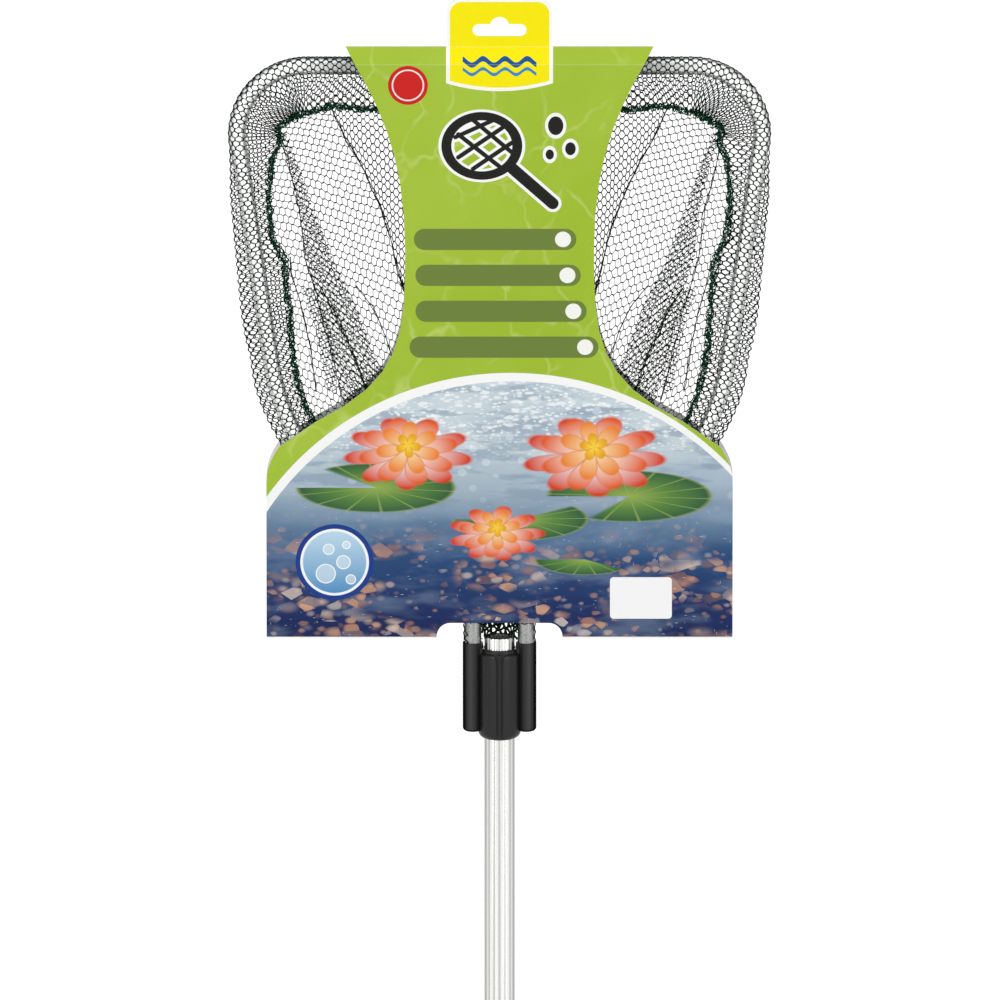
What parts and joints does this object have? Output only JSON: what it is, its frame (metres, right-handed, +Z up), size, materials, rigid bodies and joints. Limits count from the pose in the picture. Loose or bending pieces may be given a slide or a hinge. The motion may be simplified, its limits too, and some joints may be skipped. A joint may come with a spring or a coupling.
{
  "type": "telescopic pond net",
  "caption": "Telescopic pond net: a bent tube hoop with a hemmed net bag, a moulded yoke, a sliding twist-lock handle and a folding display card with a hang slot.",
  "frame": {"origin": "top of the display card's hanging slot, where a hook carries the net, on the handle's axis", "axes": "+X across the hoop to the viewer's right, +Y from the card's printed front to its back, +Z up along the handle"},
  "size_m": [0.3672, 0.0335, 1.1761],
  "materials": {
    "hoop_metal": "satin mill finish",
    "bright_tube": "bright anodised, fluted",
    "black_moulding": "fine satin texture",
    "soft_grip": "matt",
    "plated_steel": "zinc plated",
    "netting": "knotless black netting, six-sided meshes",
    "seam_thread": "overlocked dark green thread",
    "printed_board": "gloss print on white board",
    "plain_board": "plain back of the board"
  },
  "bodies": {
    "head": {"hoop": "hoop_metal", "net_hem": "netting", "hem_seam": "seam_thread", "net_bag_wall": "netting", "net_bag_back": "netting", "yoke": "black_moulding", "hoop_screw_left": "plated_steel", "hoop_screw_right": "plated_steel", "handle_screw": "plated_steel", "outer_tube": "bright_tube", "collet": "black_moulding", "collet_rivet": "plated_steel", "card_back": "plain_board"},
    "lock": {"lock_nut": "black_moulding"},
    "lower_handle": {"inner_tube": "bright_tube", "guide_plug": "black_moulding", "plug_pin": "plated_steel", "grip": "soft_grip", "end_cap": "black_moulding"},
    "card_flap": {"card_front": "printed_board"}
  },
  "joints": [
    {"name": "handle_extend", "type": "slide", "parent": "head", "child": "lower_handle", "axis": [0, 0, -1], "range_m": [0, 0.4]},
    {"name": "twist_lock", "type": "hinge", "parent": "head", "child": "lock", "pos_m": [0, 0, -0.97], "axis": [0, 0, 1], "range_deg": [0, 90]},
    {"name": "card_front_fold", "type": "hinge", "parent": "head", "child": "card_flap", "pos_m": [0, -0.0072, -0.4299], "axis": [1, 0, 0], "range_deg": [0, 120]}
  ]
}
